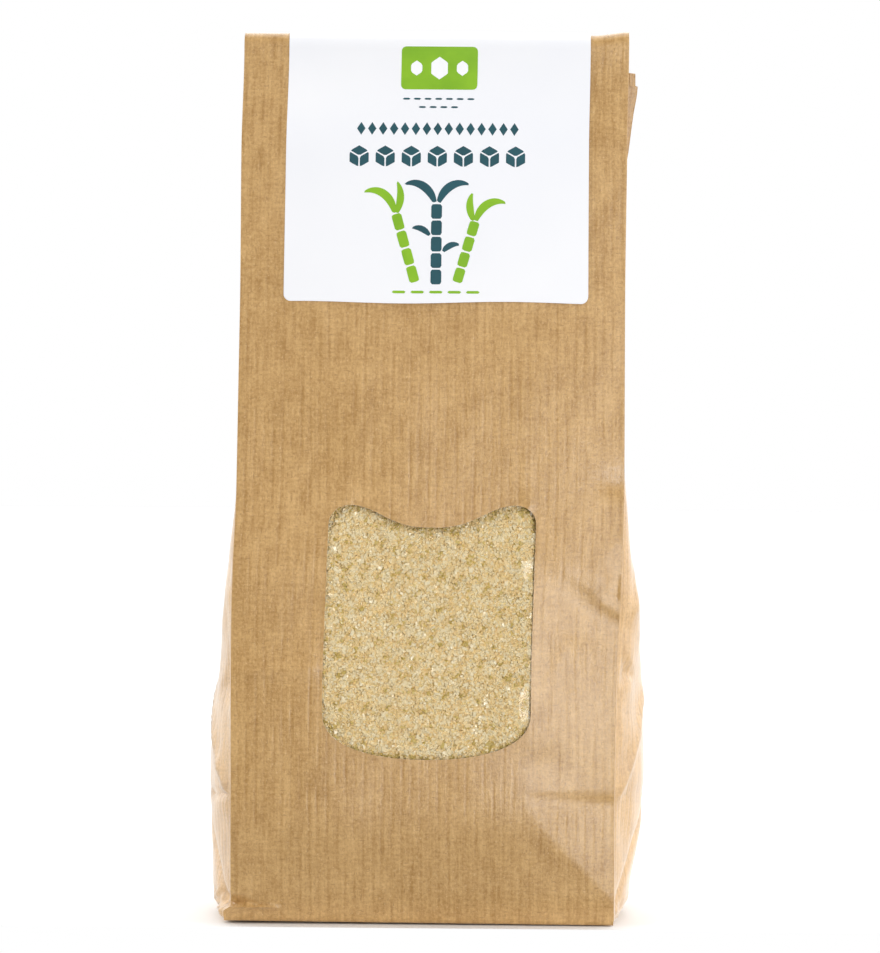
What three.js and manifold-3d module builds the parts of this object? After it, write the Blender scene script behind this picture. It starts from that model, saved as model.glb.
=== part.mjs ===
// A block-bottom kraft paper bag of cane sugar, standing on its base.
//
// The bag is one sheet: a flat front panel with a die-cut window, a back panel, two side gussets and a
// folded bottom. Sugar fills the lower half and pushes the gussets outwards. Above the fill the gussets
// fold inwards, the front and back come together, and the mouth is turned over to the back as a flap.
// A paper label runs from the front, over the top fold and down over the flap, and holds it shut.
// A clear film is glued behind the window.
//
// Millimetres, +Z up, front towards -Y, origin at the middle of the base.

import * as THREE from "three";
import { mergeVertices } from "three/addons/utils/BufferGeometryUtils.js";
import Module from "manifold-3d";

// ---------------------------------------------------------------------------------------------------
// Driving dimensions

const STANDING_HEIGHT = 231; // floor to the top fold
const FLAP_END_HEIGHT = 188; // how far down the back the mouth reaches
const PAPER = 0.5; // wall thickness
const FIT_GAP = 0.35; // clearance between separate pieces
const FILM = 0.3;
const LABEL_THICKNESS = 0.35;
const BASE_EDGE_RADIUS = 0.8; // how much the base's outline is drawn in at the floor

// How the flattened top stacks up: two double layers with a slot between them.
const SLOT = 0.3;
const DOUBLE_LAYER = 2 * PAPER + 0.3;
const STACK = 2 * DOUBLE_LAYER + SLOT;
const FOLD_INNER_RADIUS = 0.6;
const FOLD_RADIUS = FOLD_INNER_RADIUS + STACK;
const FOLD_HEIGHT = STANDING_HEIGHT - FOLD_RADIUS; // height of the fold's axis
const FLAP_CLEARANCE = 1.6; // flap to the standing back panel

// The top fold slopes down a little to the right.
const FOLD_SLOPE = 0.006;
const FOLD_SLOPE_START = 130;

// The silhouettes, each as [height, value], joined by smooth curves that never overshoot.
const FRONT_CREASE_Y = curve([
  [0, -31.5], [8, -32.4], [30, -33], [45, -32.7], [60, -32], [90, -28.8],
  [112, -25.4], [140, -21], [170, -16.2], [200, -11.8], [FOLD_HEIGHT, -7.6],
]);
const BACK_CREASE_Y = curve([
  [0, 31.5], [8, 32.4], [30, 33], [45, 32.7], [60, 31.6], [90, 26.5],
  [112, 20.5], [140, 11.5], [170, 3.6], [200, -2.2], [FOLD_HEIGHT, -7.6 + STACK],
]);
const PANEL_BULGE = curve([
  [0, 0], [10, 0.8], [45, 1.8], [75, 2], [112, 2.2], [140, 1.8], [170, 1], [200, 0.4], [220, 0],
]);
const CREASE_X = curve([
  [0, 48.9], [30, 48.8], [60, 49.1], [90, 49.7], [160, 49.8], [200, 50.2], [FOLD_HEIGHT, 50.3],
]);
// How far the whole section stands to the right: the bag leans a little.
const LEAN = curve([[0, -0.2], [60, -0.1], [90, 0.6], [112, 1.2], [200, 1.4], [FOLD_HEIGHT, 1.8]]);
// Each gusset's middle crease, measured outwards from the panel creases. The left one is fullest low
// down, the right one higher up. Above the fill both fold inwards.
const GUSSET_FOLD = [
  [104, -8], [114, -17], [126, -23.5], [145, -28], [175, -31.2], [210, -32.2],
];
const LEFT_REACH = curve([
  [0, 1.6], [1.5, 4.6], [4, 6.9], [7.5, 7.5], [17, 7.5], [32, 7.8], [41, 7.4], [56, 6.6],
  [71, 5.1], [82, 3], [93, -1], ...GUSSET_FOLD,
]);
const RIGHT_REACH = curve([
  [0, 0.2], [1.5, 2.2], [4, 4.2], [9, 5], [17, 6.3], [25, 7.5], [34, 7.8], [48, 7.5],
  [63, 7.2], [71, 6.5], [80, 5], [93, -0.5], ...GUSSET_FOLD,
]);
// Spare paper beside the middle crease, where a gusset turns from bulging out to folding in.
const LEFT_RIDGE = curve([[52, 0], [78, 1], [90, 2], [110, 2.4], [128, 1], [145, 0]]);
const RIGHT_RIDGE = curve([[55, 0], [78, 2], [90, 2.4], [110, 3.2], [128, 1.2], [145, 0]]);
// On the right the layers behind the front panel stick out past it just under the fold.
const PEEK = curve([[196, 0], [204, 0.8], [212, 1.9], [217, 2.1], [220, 1.8], [222, 0.4], [223, 0]]);

const WINDOW = {
  centreX: 0.9,
  halfWidth: 26.6,
  bottom: 42.5, // lowest point of the curved lower edge
  lowerCorner: 54.7, // where the lower curve meets the straight sides
  upperCorner: 102.6, // where the sides round over into the horns
  hornX: 21.2,
  hornTop: 107.3,
  dip: 101.6, // lowest point of the wavy top edge
};
const FILM_MARGIN = 5; // the film reaches this far past the window

const FILL_HEIGHT = 112; // sugar level at the walls
const FILL_MOUND = 4; // how much higher the heap stands in the middle
const SUGAR_INSET = PAPER + FIT_GAP + FILM + FIT_GAP; // sugar to the bag's outer face
const CORE_INSET = 2.6; // the plain core stays this far behind the grains at the window
const GRAIN_SPACING = 1.28;
const GRAIN_RELIEF = 0.95;
const GRAIN_PATCH_DEPTH = 6;
const GRAIN_PATCH_MARGIN = 2.2;

const LABEL = {
  centreX: 0.9,
  halfWidth: 39.5,
  cornerRadius: 1.9,
  frontEnd: 159.8, // lower edge on the front
  backEnd: 168, // lower edge on the back, below the flap
  bridge: 9, // how far below the flap the label meets the back panel again
};

const KRAFT = 0xc8a06e;
const SUGAR = 0xd6bb86;
const WHITE = 0xf6f7fb;

// ---------------------------------------------------------------------------------------------------
// Curves

// A monotone cubic through [height, value] points, held level past both ends.
function curve(points) {
  const slopes = points.map((point, i) => {
    if (i === 0 || i === points.length - 1) return 0;
    const before = (point[1] - points[i - 1][1]) / (point[0] - points[i - 1][0]);
    const after = (points[i + 1][1] - point[1]) / (points[i + 1][0] - point[0]);
    return before * after <= 0 ? 0 : (2 * before * after) / (before + after);
  });
  return (height) => {
    if (height <= points[0][0]) return points[0][1];
    const next = points.findIndex((point) => point[0] >= height);
    if (next < 0) return points[points.length - 1][1];
    const [h0, v0] = points[next - 1];
    const [h1, v1] = points[next];
    const span = h1 - h0;
    const t = (height - h0) / span;
    return (
      v0 * (1 + 2 * t) * (1 - t) ** 2 +
      v1 * t * t * (3 - 2 * t) +
      slopes[next - 1] * span * t * (1 - t) ** 2 -
      slopes[next] * span * t * t * (1 - t)
    );
  };
}

const spread = (from, to, steps) =>
  Array.from({ length: steps + 1 }, (_, i) => from + ((to - from) * i) / steps);

// ---------------------------------------------------------------------------------------------------
// The bag's outer skin

const frontY = (x, z) => FRONT_CREASE_Y(z) - PANEL_BULGE(z) * (1 - (x / CREASE_X(z)) ** 2);
const backY = (x, z) => BACK_CREASE_Y(z) + PANEL_BULGE(z) * (1 - (x / CREASE_X(z)) ** 2);

// One gusset's section from the front crease to the back crease, as distances outside the panel creases
// paired with y. Its two halves keep a slot between them where they lie folded together.
function gussetSection(z, inset, reachAt, ridgeAt, peek) {
  const front = FRONT_CREASE_Y(z) + inset + DOUBLE_LAYER;
  const back = BACK_CREASE_Y(z) - inset - DOUBLE_LAYER;
  const middle = (front + back) / 2;
  const reach = reachAt(z);
  const offset = (s) =>
    reach * (reach > 0 ? 1 - s * s : 1 - Math.abs(s)) + ridgeAt(z) * 4 * s * s * (1 - s * s);
  const steps = spread(0, 1, HALF_GUSSET_STEPS);
  return [
    ...steps.map((t) => [offset(t - 1), front + (middle - SLOT / 2 - front) * t]),
    ...steps.map((t) => [offset(t) + peek * t, middle + SLOT / 2 + (back - middle - SLOT / 2) * t]),
  ];
}

const PANEL_STEPS = 6;
const HALF_GUSSET_STEPS = 4;

// One ring of the skin as [x, y] points, counter-clockwise from above, drawn in by inset.
function outline(z, inset = 0) {
  const edge = CREASE_X(z) - inset;
  const front = FRONT_CREASE_Y(z) + inset;
  const back = BACK_CREASE_Y(z) - inset;
  const bulge = PANEL_BULGE(z);
  const peek = PEEK(z);
  const across = spread(-1, 1, PANEL_STEPS);
  const frontPanel = across.map((u) => [edge * u, front - bulge * (1 - u * u)]);
  const backPanel = across.map((u) => [
    -edge * u - peek * Math.min(u, 0),
    back + bulge * (1 - u * u),
  ]);
  const right = gussetSection(z, inset, RIGHT_REACH, RIGHT_RIDGE, peek);
  const left = gussetSection(z, inset, LEFT_REACH, LEFT_RIDGE, 0);
  return [
    ...frontPanel,
    ...right.map(([out, y]) => [edge + out, y]),
    ...backPanel,
    ...left.map(([out, y]) => [-edge - out, y]).reverse(),
  ];
}

// Moves each side of a ring inwards by the wall thickness, with mitred corners.
function insetRing(ring, distance) {
  const inward = (from, to) => {
    const direction = new THREE.Vector2(to[0] - from[0], to[1] - from[1]).normalize();
    return new THREE.Vector2(-direction.y, direction.x);
  };
  return ring.map((point, i) => {
    const before = inward(ring[(i + ring.length - 1) % ring.length], point);
    const after = inward(point, ring[(i + 1) % ring.length]);
    const mitre = distance / Math.max(1 + before.dot(after), 0.35);
    return [point[0] + (before.x + after.x) * mitre, point[1] + (before.y + after.y) * mitre];
  });
}

// Leans the finished shape and slopes its top, the same way for every piece.
function settle(x, y, z) {
  const share = THREE.MathUtils.smoothstep(z, FOLD_SLOPE_START, STANDING_HEIGHT);
  return [x + LEAN(z), y, z - FOLD_SLOPE * x * share];
}

// ---------------------------------------------------------------------------------------------------
// Meshes

const wasm = await Module();
wasm.setup();

function geometryOf(points, triangles) {
  const geometry = new THREE.BufferGeometry();
  geometry.setAttribute("position", new THREE.Float32BufferAttribute(points.flat(), 3));
  geometry.setIndex(triangles.flat());
  return geometry;
}

function solidOf(geometry) {
  const merged = mergeVertices(geometry, 1e-4);
  return new wasm.Manifold(
    new wasm.Mesh({
      numProp: 3,
      vertProperties: merged.attributes.position.array,
      triVerts: new Uint32Array(merged.index.array),
    }),
  );
}

function geometryOfSolid(solid) {
  const mesh = solid.getMesh();
  const geometry = new THREE.BufferGeometry();
  const points = new Float32Array(mesh.numVert * 3);
  for (let i = 0; i < mesh.numVert; i++) {
    points.set(mesh.vertProperties.subarray(i * mesh.numProp, i * mesh.numProp + 3), i * 3);
  }
  geometry.setAttribute("position", new THREE.BufferAttribute(points, 3));
  geometry.setIndex(new THREE.BufferAttribute(mesh.triVerts, 1));
  return geometry;
}

// A closed tube through rings of equal length. Its start closes around a middle point. Its end closes
// around the point given, or across itself by the triangles given, which count from the last ring.
function loft(rings, tip, cap = []) {
  const size = rings[0].length;
  const points = rings.flat();
  const triangles = [];
  for (let row = 0; row + 1 < rings.length; row++) {
    for (let i = 0; i < size; i++) {
      const a = row * size + i;
      const b = row * size + ((i + 1) % size);
      triangles.push([a, b, b + size], [a, b + size, a + size]);
    }
  }
  const middle = points.push([LEAN(0), 0, rings[0][0][2]]) - 1;
  for (let i = 0; i < size; i++) triangles.push([(i + 1) % size, i, middle]);
  const last = (rings.length - 1) * size;
  if (tip) {
    const apex = points.push(tip) - 1;
    for (let i = 0; i < size; i++) triangles.push([last + i, last + ((i + 1) % size), apex]);
  }
  for (const corners of cap) triangles.push(corners.map((i) => last + i));
  return geometryOf(points, triangles);
}

// A closed plate between two grids of points. Seen from the outer side, rows run up and columns right.
function plate(outer, inner) {
  const rows = outer.length;
  const columns = outer[0].length;
  const points = [...outer.flat(), ...inner.flat()];
  const at = (side, row, column) => side * rows * columns + row * columns + column;
  const triangles = [];
  const quad = (a, b, c, d) => triangles.push([a, b, c], [a, c, d]);
  for (let r = 0; r + 1 < rows; r++) {
    for (let c = 0; c + 1 < columns; c++) {
      quad(at(0, r, c), at(0, r, c + 1), at(0, r + 1, c + 1), at(0, r + 1, c));
      quad(at(1, r, c), at(1, r + 1, c), at(1, r + 1, c + 1), at(1, r, c + 1));
    }
    quad(at(0, r, 0), at(0, r + 1, 0), at(1, r + 1, 0), at(1, r, 0));
    const end = columns - 1;
    quad(at(0, r, end), at(1, r, end), at(1, r + 1, end), at(0, r + 1, end));
  }
  for (let c = 0; c + 1 < columns; c++) {
    quad(at(0, 0, c), at(1, 0, c), at(1, 0, c + 1), at(0, 0, c + 1));
    const end = rows - 1;
    quad(at(0, end, c), at(0, end, c + 1), at(1, end, c + 1), at(1, end, c));
  }
  return geometryOf(points, triangles);
}

// ---------------------------------------------------------------------------------------------------
// Paper bag

const STANDING_ROWS = [
  BASE_EDGE_RADIUS, 2, 4.5, 8, 13, 20, 27, 34, 45, 56, 66, 76, 84, 91, 98, 105, 112, 119, 128, 140,
  155, 172, 190, 202, 212, 219, 222.5,
];
const FOLD_STEPS = 6;
const FLAP_ROWS = [219, 206, 197, FLAP_END_HEIGHT];

// Depth runs from the front panel's outer face to the back panel's; this turns it over the fold.
function foldedPoint(x, depth, turn) {
  const radius = FOLD_RADIUS - depth;
  const axisY = FRONT_CREASE_Y(FOLD_HEIGHT) + FOLD_RADIUS;
  return settle(x, axisY - radius * Math.cos(turn), FOLD_HEIGHT + radius * Math.sin(turn));
}

// The flap hangs behind the back panel, with the front panel's paper outermost.
const flapY = (z) => {
  const drop = THREE.MathUtils.clamp((FOLD_HEIGHT - z) / 10, 0, 1);
  const clearance = 2 * FOLD_INNER_RADIUS + (FLAP_CLEARANCE - 2 * FOLD_INNER_RADIUS) * drop;
  return BACK_CREASE_Y(z) + clearance + STACK;
};

// The rings of the skin from the base, over the fold and down to the mouth. extra lengthens the flap.
function bagRings(inset, floor, extra) {
  const shrink = (ring) => (inset > 0 ? insetRing(ring, inset) : ring);
  const rings = [];
  const start = insetRing(outline(0), BASE_EDGE_RADIUS);
  rings.push(shrink(start).map(([x, y]) => settle(x, y, floor)));
  for (const z of [...STANDING_ROWS, FOLD_HEIGHT]) {
    rings.push(shrink(outline(z)).map(([x, y]) => settle(x, y, z)));
  }
  const front = FRONT_CREASE_Y(FOLD_HEIGHT);
  const flat = shrink(outline(FOLD_HEIGHT)).map(([x, y]) => [x, y - front]);
  for (const turn of spread(0, Math.PI, FOLD_STEPS).slice(1)) {
    rings.push(flat.map(([x, depth]) => foldedPoint(x, depth, turn)));
  }
  for (const z of [...FLAP_ROWS.slice(0, -1), FLAP_ROWS.at(-1) - extra]) {
    rings.push(flat.map(([x, depth]) => settle(x, flapY(z) - depth, z)));
  }
  return { rings, flat };
}

// Triangles between two rows of a ring's points, both running towards +X.
function strip(ring, lower, upper) {
  const triangles = [];
  let i = 0;
  let j = 0;
  while (i + 1 < lower.length || j + 1 < upper.length) {
    const nextLower = i + 1 < lower.length ? ring[lower[i + 1]][0] : Infinity;
    const nextUpper = j + 1 < upper.length ? ring[upper[j + 1]][0] : Infinity;
    if (nextLower <= nextUpper) triangles.push([lower[i], lower[++i], upper[j]]);
    else triangles.push([lower[i], upper[j + 1], upper[j++]]);
  }
  return triangles;
}

// Closes the mouth across its paper: a strip in front, a strip behind, and the link between them.
function mouthCap(ring) {
  const indices = ring.map((_, i) => i);
  const panel = PANEL_STEPS + 1;
  const half = HALF_GUSSET_STEPS + 1;
  const front = indices.slice(0, panel);
  const rightFront = indices.slice(panel, panel + half);
  const rightBack = indices.slice(panel + half, panel + 2 * half);
  const back = indices.slice(panel + 2 * half, 2 * panel + 2 * half);
  const leftBack = indices.slice(2 * panel + 2 * half, 2 * panel + 3 * half);
  const leftFront = indices.slice(2 * panel + 3 * half);
  const link = [leftFront[0], rightFront.at(-1), rightBack[0], leftBack.at(-1)];
  return [
    ...strip(ring, front, [...leftFront.reverse(), ...rightFront.reverse()]),
    [link[0], link[1], link[2]],
    [link[0], link[2], link[3]],
    ...strip(ring, [...leftBack, ...rightBack], back.reverse()),
  ];
}

// The leaning window's outline as [x, z] points, counter-clockwise from the front.
function windowOutline() {
  const w = WINDOW;
  const points = [];
  for (const a of spread(Math.PI, 2 * Math.PI, 18)) {
    points.push([w.halfWidth * Math.cos(a), w.lowerCorner + (w.lowerCorner - w.bottom) * Math.sin(a)]);
  }
  const corner = w.halfWidth - w.hornX;
  for (const a of spread(0, Math.PI / 2, 5)) {
    points.push([w.hornX + corner * Math.cos(a), w.upperCorner + (w.hornTop - w.upperCorner) * Math.sin(a)]);
  }
  for (const x of spread(w.hornX, -w.hornX, 16).slice(1, -1)) {
    points.push([x, w.dip + ((w.hornTop - w.dip) * (1 - Math.cos((Math.PI * x) / w.hornX))) / 2]);
  }
  for (const a of spread(Math.PI / 2, Math.PI, 5)) {
    points.push([-w.hornX + corner * Math.cos(a), w.upperCorner + (w.hornTop - w.upperCorner) * Math.sin(a)]);
  }
  return points.map(([x, z]) => [x + w.centreX + LEAN(z), z]);
}

function windowCutter() {
  const shape = new THREE.Shape(windowOutline().map(([x, z]) => new THREE.Vector2(x, z)));
  const cutter = new THREE.ExtrudeGeometry(shape, { depth: 40, bevelEnabled: false });
  cutter.rotateX(Math.PI / 2); // the outline's second axis becomes height, and the depth runs towards -Y
  cutter.translate(0, -10, 0);
  cutter.deleteAttribute("normal");
  cutter.deleteAttribute("uv");
  return solidOf(cutter);
}

function paperBag() {
  const skin = bagRings(0, 0, 0);
  const hollow = bagRings(PAPER, PAPER, 2);
  const outside = solidOf(loft(skin.rings, null, mouthCap(skin.flat)));
  const inside = solidOf(loft(hollow.rings, null, mouthCap(hollow.flat)));
  return geometryOfSolid(outside.subtract(inside).subtract(windowCutter()));
}

// ---------------------------------------------------------------------------------------------------
// Window film

function windowFilm() {
  const w = WINDOW;
  const columns = spread(-w.halfWidth - FILM_MARGIN, w.halfWidth + FILM_MARGIN, 10);
  const rows = spread(w.bottom - FILM_MARGIN, w.hornTop + FILM_MARGIN, 12);
  const face = (inset) =>
    rows.map((z) => columns.map((x) => settle(x + w.centreX, frontY(x + w.centreX, z) + inset, z)));
  return plate(face(PAPER + FIT_GAP), face(PAPER + FIT_GAP + FILM));
}

// ---------------------------------------------------------------------------------------------------
// Sugar

// Repeatable random numbers from 0 to 1.
function randomSource(seed) {
  let state = seed;
  return () => {
    state = (Math.imul(state, 1664525) + 1013904223) >>> 0;
    return state / 4294967296;
  };
}

// The grains pressed against the film, as relief one grain in size.
function grainPatch() {
  const w = WINDOW;
  const random = randomSource(7);
  const reach = w.halfWidth + GRAIN_PATCH_MARGIN;
  const columns = spread(-reach, reach, Math.round((2 * reach) / GRAIN_SPACING));
  const low = w.bottom - GRAIN_PATCH_MARGIN;
  const high = w.hornTop + GRAIN_PATCH_MARGIN;
  const rows = spread(low, high, Math.round((high - low) / GRAIN_SPACING));
  const shift = () => (random() - 0.5) * 0.6 * GRAIN_SPACING;
  const grid = rows.map((z, r) =>
    columns.map((x, c) => {
      const rim = r === 0 || c === 0 || r === rows.length - 1 || c === columns.length - 1;
      const grainX = x + w.centreX + (rim ? 0 : shift());
      const grainZ = z + (rim ? 0 : shift());
      return { x: grainX, z: grainZ, depth: random() ** 1.5 * GRAIN_RELIEF };
    }),
  );
  const face = (extra, relief) =>
    grid.map((row) =>
      row.map(({ x, z, depth }) =>
        settle(x, frontY(x, z) + SUGAR_INSET + extra + relief * depth, z),
      ),
    );
  return solidOf(plate(face(0, 1), face(GRAIN_PATCH_DEPTH, 0)));
}

function sugarCore() {
  const rows = [6, 14, 24, 34, 45, 56, 66, 76, 86, 94, 101, 107, FILL_HEIGHT];
  const floor = PAPER + FIT_GAP;
  const first = insetRing(outline(0), BASE_EDGE_RADIUS + PAPER + FIT_GAP);
  const rings = [first.map(([x, y]) => settle(x, y, floor))];
  for (const z of rows) {
    rings.push(outline(z, CORE_INSET).map(([x, y]) => settle(x, y, z)));
  }
  const top = FILL_HEIGHT + FILL_MOUND;
  const middle = (FRONT_CREASE_Y(top) + BACK_CREASE_Y(top)) / 2;
  return solidOf(loft(rings, settle(0, middle, top)));
}

const sugar = () => geometryOfSolid(sugarCore().add(grainPatch()));

// ---------------------------------------------------------------------------------------------------
// Label

// Places on the label's way over the bag. Each turns x and a distance off the paper into a point.
function labelStations() {
  const l = LABEL;
  const onFront = (z) => (x, off) => settle(x, frontY(x, z) - off, z);
  const onFold = (turn) => (x, off) => foldedPoint(x, -off, turn);
  const onFlap = (z) => (x, off) => settle(x, flapY(z) + off, z);
  const onBack = (z) => (x, off) => settle(x, backY(x, z) + off, z);
  const bridgeEnd = FLAP_END_HEIGHT - l.bridge;
  const onBridge = (z) => (x, off) => {
    const share = THREE.MathUtils.smoothstep(z, bridgeEnd, FLAP_END_HEIGHT);
    return settle(x, backY(x, z) * (1 - share) + flapY(z) * share + off, z);
  };
  const corner = spread(0, Math.PI / 2, 4).map((a) => l.cornerRadius * (1 - Math.cos(a)));
  return [
    ...corner.map((up) => ({ place: onFront(l.frontEnd + up), end: up })),
    ...[166, 176, 188, 200, 212, 221, FOLD_HEIGHT].map((z) => ({ place: onFront(z) })),
    ...spread(0, Math.PI, 8).slice(1).map((turn) => ({ place: onFold(turn) })),
    ...[219, 206, 197, FLAP_END_HEIGHT].map((z) => ({ place: onFlap(z) })),
    ...[3, 6].map((down) => ({ place: onBridge(FLAP_END_HEIGHT - down) })),
    ...[bridgeEnd, 174].map((z) => ({ place: onBack(z) })),
    ...corner.map((up) => ({ place: onBack(l.backEnd + up), end: up })).reverse(),
  ];
}

function label() {
  const l = LABEL;
  const face = (off) =>
    labelStations().map(({ place, end }) => {
      const short = end === undefined ? 0 : l.cornerRadius - end;
      const cut = l.cornerRadius - Math.sqrt(l.cornerRadius ** 2 - short ** 2);
      const half = l.halfWidth - cut;
      return spread(-half, half, 8).map((x) => place(x + l.centreX, off));
    });
  return plate(face(FIT_GAP + LABEL_THICKNESS), face(FIT_GAP));
}

// ---------------------------------------------------------------------------------------------------
// Assembly

function piece(name, geometry, look) {
  const mesh = new THREE.Mesh(geometry, new THREE.MeshStandardMaterial({ metalness: 0, ...look }));
  mesh.name = name;
  return mesh;
}

const bagOfSugar = new THREE.Group();
bagOfSugar.name = "bag_of_sugar";
bagOfSugar.add(
  piece("paper_bag", paperBag(), { color: KRAFT, roughness: 0.85 }),
  piece("window_film", windowFilm(), { color: WHITE, roughness: 0.1, transparent: true, opacity: 0.2 }),
  piece("sugar", sugar(), { color: SUGAR, roughness: 0.6 }),
  piece("label", label(), { color: WHITE, roughness: 0.4 }),
);

// The bag leans, so its box is brought back over the origin.
const box = new THREE.Box3().setFromObject(bagOfSugar);
bagOfSugar.position.set(-(box.min.x + box.max.x) / 2, -(box.min.y + box.max.y) / 2, 0);

export default bagOfSugar;
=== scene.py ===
"""A block-bottom kraft paper bag of cane sugar with a window, a folded top and a paper label.

Lengths are in millimetres until a mesh is made; the frame's own unit is the metre. The bag's outer
skin is one formula: a ring of points for each height, carried on over the fold and down the flap.
"""

import math

import bpy
import numpy as np
from mathutils import Matrix, Quaternion, Vector
from mathutils.geometry import delaunay_2d_cdt


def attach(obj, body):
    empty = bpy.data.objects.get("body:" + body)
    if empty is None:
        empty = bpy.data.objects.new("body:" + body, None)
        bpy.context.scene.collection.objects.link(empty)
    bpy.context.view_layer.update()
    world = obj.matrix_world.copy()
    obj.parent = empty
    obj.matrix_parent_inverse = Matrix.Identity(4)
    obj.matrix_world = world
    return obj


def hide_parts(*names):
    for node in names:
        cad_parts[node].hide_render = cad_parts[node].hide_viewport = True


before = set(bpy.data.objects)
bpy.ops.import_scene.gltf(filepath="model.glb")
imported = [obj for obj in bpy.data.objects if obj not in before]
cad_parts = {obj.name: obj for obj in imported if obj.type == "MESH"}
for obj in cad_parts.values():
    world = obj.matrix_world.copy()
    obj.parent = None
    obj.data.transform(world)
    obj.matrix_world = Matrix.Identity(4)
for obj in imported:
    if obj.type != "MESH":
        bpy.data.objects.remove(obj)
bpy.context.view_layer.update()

MM = 0.001
CENTRING = np.array([0.149, -0.001, 0.0])  # brings the leaning bag's box back over the origin

# ---- Dimensions

# Shared with the solids.
PANEL_WIDTH = 100.0
GUSSET_WIDTH = 65
GUSSET_MIDDLE = GUSSET_WIDTH / 2
STANDING_HEIGHT = 231
FLAP_END_HEIGHT = 188
BASE_EDGE_RADIUS = 0.8
DOUBLE_LAYER = 1.3
SLOT = 0.3
STACK = 2 * DOUBLE_LAYER + SLOT
FOLD_INNER_RADIUS = 0.6
FOLD_RADIUS = FOLD_INNER_RADIUS + STACK
FOLD_HEIGHT = STANDING_HEIGHT - FOLD_RADIUS
FOLD_ARC = math.pi * FOLD_RADIUS
FLAP_CLEARANCE = 1.6
FOLD_SLOPE = 0.006
FOLD_SLOPE_START = 130
FILL_HEIGHT = 112
FILL_MOUND = 4

# The scene's own: thinner paper, and the way it is creased.
PAPER = 0.28
FRONT_LIFT = 0.3
FRONT_LIFT_SLOPE = 0.006
FOOT_CORNER = 1.9
TOP_CORNER_RISE = 1.0
RIB_PITCH = 2.35
CREASE_RADIUS = 0.14
CREASE_STRIP = 0.3  # the first column beside a crease, so that only the crease itself looks rounded
CREASE_SPREAD = 0.2  # the creased edges stand this far outside the panel creases


def curve(*points):
    """A smooth line through (height, value) points, level past both ends and at each turn."""
    heights, values = np.array(points, float).T
    steps = np.diff(values) / np.diff(heights)
    slopes = np.zeros(len(heights))
    rising = steps[:-1] * steps[1:] > 0
    total = np.where(rising, steps[:-1] + steps[1:], 1)
    slopes[1:-1] = np.where(rising, 2 * steps[:-1] * steps[1:] / total, 0)

    def at(height):
        height = np.clip(height, heights[0], heights[-1])
        i = np.clip(np.searchsorted(heights, height) - 1, 0, len(heights) - 2)
        span = heights[i + 1] - heights[i]
        t = (height - heights[i]) / span
        return (
            values[i] * (1 + 2 * t) * (1 - t) ** 2
            + values[i + 1] * t * t * (3 - 2 * t)
            + slopes[i] * span * t * (1 - t) ** 2
            - slopes[i + 1] * span * t * t * (1 - t)
        )

    return at


# The bag's section by height. It follows the solids' section, with finer steps at the foot and top.
front_crease_y = curve(
    (0, -31.5), (8, -32.4), (30, -33), (45, -32.7), (60, -32), (90, -28.8),
    (112, -25.4), (140, -21), (170, -16.2), (200, -11.8), (FOLD_HEIGHT, -7.6),
)
back_crease_y = curve(
    (0, 31.5), (8, 32.4), (30, 33), (45, 32.7), (60, 31.6), (90, 26.5),
    (112, 20.5), (140, 11.5), (170, 3.6), (200, -2.2), (FOLD_HEIGHT, -7.6 + STACK),
)
panel_bulge = curve(
    (0, 0), (10, 0.8), (45, 1.8), (75, 2), (112, 2.2), (140, 1.8), (170, 1), (200, 0.4), (220, 0)
)
crease_x = curve(
    (0, 48.9), (30, 48.8), (60, 49.1), (90, 49.7), (160, 49.8), (200, 50.2), (FOLD_HEIGHT, 50.3)
)
lean = curve((0, -0.2), (60, -0.1), (90, 0.6), (112, 1.2), (200, 1.4), (FOLD_HEIGHT, 1.8))
# Above the fill both gussets fold inwards alike.
GUSSET_FOLD = ((104, -8), (114, -17), (126, -23.5), (145, -28), (175, -31.2), (210, -32.2))
left_reach = curve(
    (0, 1.6), (1.5, 4.4), (4, 6.4), (7.5, 7.0), (17, 7.3), (32, 8.1), (41, 7.9), (56, 6.0),
    (71, 4.3), (82, 2.4), (93, -0.4), *GUSSET_FOLD,
)
right_reach = curve(
    (0, 0.2), (1.5, 2.2), (4, 4.2), (9, 5), (17, 6.7), (25, 8.1), (34, 8.5), (48, 8.0),
    (63, 7.3), (71, 6.3), (80, 4.7), (93, 0.2), *GUSSET_FOLD,
)
left_ridge = curve((52, 0), (78, 1), (90, 2), (110, 2.4), (128, 1), (145, 0))
right_ridge = curve((55, 0), (78, 2), (90, 2.4), (110, 3.2), (128, 1.2), (145, 0))
peek = curve(
    (196, 0), (201, 0.6), (210, 1.55), (217.0, 2.45), (217.2, 1.85), (220.2, 1.75), (220.4, 0.05),
    (222, 0),
)

WINDOW_X = 0.9
WINDOW_HALF = 26.6
WINDOW_BOTTOM = 42.5
WINDOW_LOWER_CORNER = 54.7
WINDOW_UPPER_CORNER = 102.6
WINDOW_HORN_X = 21.2
WINDOW_HORN_TOP = 107.3
WINDOW_DIP = 101.6

LABEL_X = 0.9
LABEL_HALF = 39.5
LABEL_CORNER = 1.9
LABEL_FRONT_END = 159.8
LABEL_BACK_END = 168
LABEL_BRIDGE = 9


def smoothstep(value, low, high):
    t = np.clip((value - low) / (high - low), 0, 1)
    return t * t * (3 - 2 * t)


def below_fold(z):
    """One up the bag, falling to nothing where the paper flattens towards the top fold."""
    return 1 - smoothstep(z, 205, FOLD_HEIGHT)


def stacked(*parts):
    """Arrays of coordinates, broadcast against each other, as an array of points."""
    return np.stack(np.broadcast_arrays(*parts), -1)


def grid_points(columns, rows):
    return np.stack(np.meshgrid(columns, rows), -1).reshape(-1, 2)


def distance_to(outline, points):
    """Each point's distance from the nearest corner of an outline."""
    return np.linalg.norm(points[:, None] - outline[None], axis=2).min(axis=1)


# ---- Creases, dents and waves in the paper, in millimetres outwards


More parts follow.
